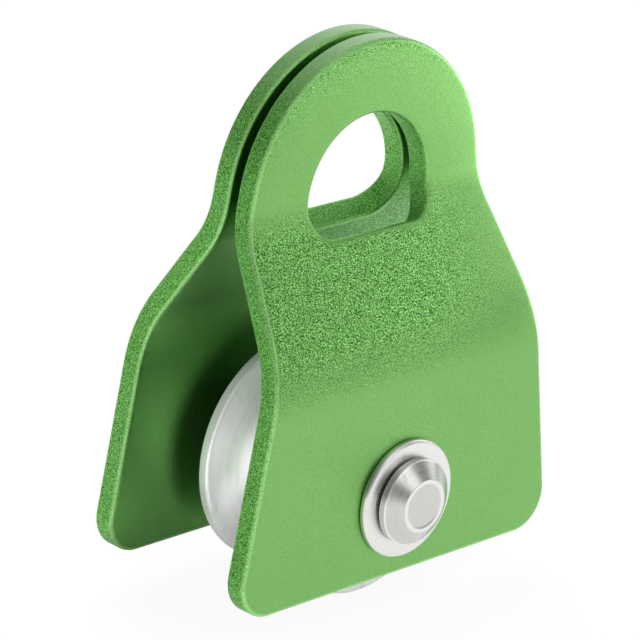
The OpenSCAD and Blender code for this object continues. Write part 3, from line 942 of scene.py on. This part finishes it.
def studio_world():
    """A pale studio: plain white to the camera, an even level for the light on the part,
    and in reflections white low down and overhead, a dim wall between and two windows."""
    world = bpy.data.worlds.new("Studio")
    world.use_nodes = True
    bpy.context.scene.world = world
    tree = world.node_tree
    tree.nodes.clear()
    out = tree.nodes.new("ShaderNodeOutputWorld")
    shader = tree.nodes.new("ShaderNodeBackground")
    tree.links.new(shader.outputs[0], out.inputs[0])
    direction = tree.nodes.new("ShaderNodeTexCoord").outputs["Generated"]
    path = tree.nodes.new("ShaderNodeLightPath")

    def lobe(x, y, z, low, high):
        """Rises from 0 to 1 as the cosine of the angle to (x, y, z) goes from low to high."""
        toward = tree.nodes.new("ShaderNodeVectorMath")
        toward.operation = "DOT_PRODUCT"
        tree.links.new(direction, toward.inputs[0])
        toward.inputs[1].default_value = Vector((x, y, z)).normalized()
        return spread(tree, toward.outputs["Value"], low, high, kind="SMOOTHSTEP")

    even, wall, pale = grey(0.85), grey(0.26), grey(0.74)
    window, back_window = grey(1.6), grey(1.2)
    below = maths(tree, "SUBTRACT", 1.0, lobe(0, 0, 1, -0.05, 0.16))
    overhead = lobe(0.2, 0.35, 1, 0.62, 0.90)
    room = mix_colours(tree, maths(tree, "MAXIMUM", below, overhead), wall, pale)
    room = mix_colours(tree, lobe(0.14, -0.82, 0.55, 0.93, 0.985), room, window)
    room = mix_colours(tree, lobe(0.67, 0.655, 0.40, 0.86, 0.97), room, back_window)
    soft = mix_colours(tree, mirror_rays(tree, path), even, room)
    seen = mix_colours(tree, path.outputs["Is Camera Ray"], soft, WHITE)
    tree.links.new(seen, shader.inputs["Color"])
    shader.inputs["Strength"].default_value = 1.0


def floor_material(settings):
    """A white sheet: its own paper colour for the light it returns, and mostly an even white to
    the camera and in reflections, so that only a soft shadow shows. In reflections it carries a
    painted shadow, dim in an ellipse under the part and behind it, where (x / half_x)^2 + ((y -
    shift) / half_y)^2 is below about 1."""
    material = bpy.data.materials.new("Floor paper")
    material.use_nodes = True
    tree = material.node_tree
    tree.nodes.clear()
    out = tree.nodes.new("ShaderNodeOutputMaterial")
    paper = tree.nodes.new("ShaderNodeBsdfDiffuse")
    paper.inputs["Color"].default_value = (*settings.floor_colour, 1.0)
    glow = tree.nodes.new("ShaderNodeEmission")
    path = tree.nodes.new("ShaderNodeLightPath")
    half_x, half_y, shift, fades_out = 0.045, 0.022, 0.010, (0.4, 1.4)
    painted_shadow_level, camera_share, mirror_share = 0.20, 0.90, 0.85
    place_at = tree.nodes.new("ShaderNodeTexCoord").outputs["Object"]
    beside = maths(tree, "DIVIDE", along(tree, place_at, "X"), half_x)
    shifted = maths(tree, "SUBTRACT", along(tree, place_at, "Y"), shift)
    before = maths(tree, "DIVIDE", shifted, half_y)
    away = maths(tree, "MULTIPLY_ADD", beside, beside, maths(tree, "MULTIPLY", before, before))
    # Painted shadow: in reflections the floor dims inside the ellipse.
    shadowed_floor = spread(tree, away, *fades_out, painted_shadow_level, 1.0)
    mirrored = mirror_rays(tree, path)
    glossy = maths(tree, "MULTIPLY", mirrored, mirror_share)
    amount = maths(tree, "MULTIPLY_ADD", path.outputs["Is Camera Ray"], camera_share, glossy)
    glow_level = mix_colours(tree, mirrored, WHITE, shadowed_floor)
    tree.links.new(glow_level, glow.inputs["Strength"])
    mix = tree.nodes.new("ShaderNodeMixShader")
    tree.links.new(amount, mix.inputs[0])
    tree.links.new(paper.outputs[0], mix.inputs[1])
    tree.links.new(glow.outputs[0], mix.inputs[2])
    tree.links.new(mix.outputs[0], out.inputs[0])
    return material


def soft_lamp(name, at, towards, size, watts):
    """A square area lamp at a place, facing a point, in metres."""
    data = bpy.data.lights.new(name, "AREA")
    data.shape = "SQUARE"
    data.size = size
    data.energy = watts
    lamp = bpy.data.objects.new(name, data)
    bpy.context.scene.collection.objects.link(lamp)
    way = Vector(towards) - Vector(at)
    turn = way.to_track_quat("-Z", "Y").to_matrix().to_4x4()
    lamp.matrix_world = Matrix.Translation(at) @ turn
    return lamp


class PULLEY_OT_stage(bpy.types.Operator):
    """Lays the floor, hangs the lamps and sets the camera"""
    bl_idname = "pulley.stage"
    bl_label = "Stage"

    def execute(self, context):
        scene, settings = context.scene, scene_settings().stage
        studio_world()
        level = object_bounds()[0][2]
        mesh = bpy.data.meshes.new("floor")
        reach = 3.0
        mesh.from_pydata([(-reach, -reach, level), (reach, -reach, level),
                          (reach, reach, level), (-reach, reach, level)], [], [(0, 1, 2, 3)])
        mesh.materials.append(floor_material(settings))
        floor = bpy.data.objects.new("floor", mesh)
        scene.collection.objects.link(floor)
        floor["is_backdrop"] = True
        for lamp in (
                soft_lamp("overhead", (0.16, 0.36, 0.45), (0, 0, -0.02), 0.40,
                          settings.overhead),
                soft_lamp("side", (0.5, -0.6, 0.5), (0, 0, -0.03), 0.5, settings.side),
                soft_lamp("fill", (-0.45, -0.30, -0.02), (0, 0, -0.047), 0.3, settings.fill)):
            lamp.visible_glossy = False
        panel = soft_lamp("panel", (0.095, -0.026, 0.010), (0.0, -0.011, -0.014), 0.08,
                          settings.panel)
        panel.visible_camera = panel.visible_diffuse = False
        data = bpy.data.cameras.new("camera")
        data.sensor_width = 36.0
        data.lens = 214.99
        data.clip_start = 0.05
        camera = bpy.data.objects.new("camera", data)
        scene.collection.objects.link(camera)
        # The camera's axes, the point that it faces and how far off it stands, in metres
        right = (0.71570, -0.69512, 0.06761)
        up = (0.19869, 0.29545, 0.93447)
        back = (-0.66955, -0.65537, 0.34957)
        target, distance = (-0.003784, 0.0, -0.021938), 0.60236
        at = Vector(target) + Vector(back) * distance
        turn = Matrix((right, up, back)).transposed().to_4x4()
        camera.matrix_world = Matrix.Translation(at) @ turn
        scene.camera = camera
        scene.view_settings.view_transform = "Standard"
        return {"FINISHED"}


class PulleySettings(bpy.types.PropertyGroup):
    """All settings of the pulley."""
    cheek: bpy.props.PointerProperty(
        type=CheekSettings, name="Cheeks", description="Sizes and finish of the cheeks")
    axle: bpy.props.PointerProperty(
        type=AxleSettings, name="Axle", description="Sizes and finish of the axle")
    sheave: bpy.props.PointerProperty(
        type=SheaveSettings, name="Sheave", description="Sizes and finish of the sheave")
    stage: bpy.props.PointerProperty(
        type=StageSettings, name="Stage", description="Floor, lamps and camera")


class PULLEY_PT_panel(bpy.types.Panel):
    """Lists the pieces in the 3D view's sidebar"""
    bl_idname = "PULLEY_PT_panel"
    bl_label = "Climbing pulley"
    bl_space_type = "VIEW_3D"
    bl_region_type = "UI"
    bl_category = "Pulley"

    def draw(self, context):
        for kind in OPERATORS:
            self.layout.operator(kind.bl_idname)
        for group in ("cheek", "axle", "sheave", "stage"):
            box = self.layout.box()
            settings = getattr(context.scene.pulley, group)
            for key in settings.bl_rna.properties.keys():
                if key not in ("rna_type", "name"):
                    box.prop(settings, key)


OPERATORS = (PULLEY_OT_cheeks, PULLEY_OT_axle, PULLEY_OT_sheave, PULLEY_OT_bearings,
             PULLEY_OT_stage)
CLASSES = (CheekSettings, AxleSettings, SheaveSettings, StageSettings, PulleySettings,
           *OPERATORS, PULLEY_PT_panel)


def register():
    for kind in CLASSES:
        bpy.utils.register_class(kind)
    bpy.types.Scene.pulley = bpy.props.PointerProperty(
        type=PulleySettings, name="Pulley", description="Settings of the pulley")


def unregister():
    del bpy.types.Scene.pulley
    for kind in reversed(CLASSES):
        bpy.utils.unregister_class(kind)


def main():
    register()
    bpy.ops.pulley.bearings()
    bpy.ops.pulley.cheeks()
    bpy.ops.pulley.axle()
    bpy.ops.pulley.sheave()
    bpy.ops.pulley.stage()


if __name__ == "__main__":
    main()
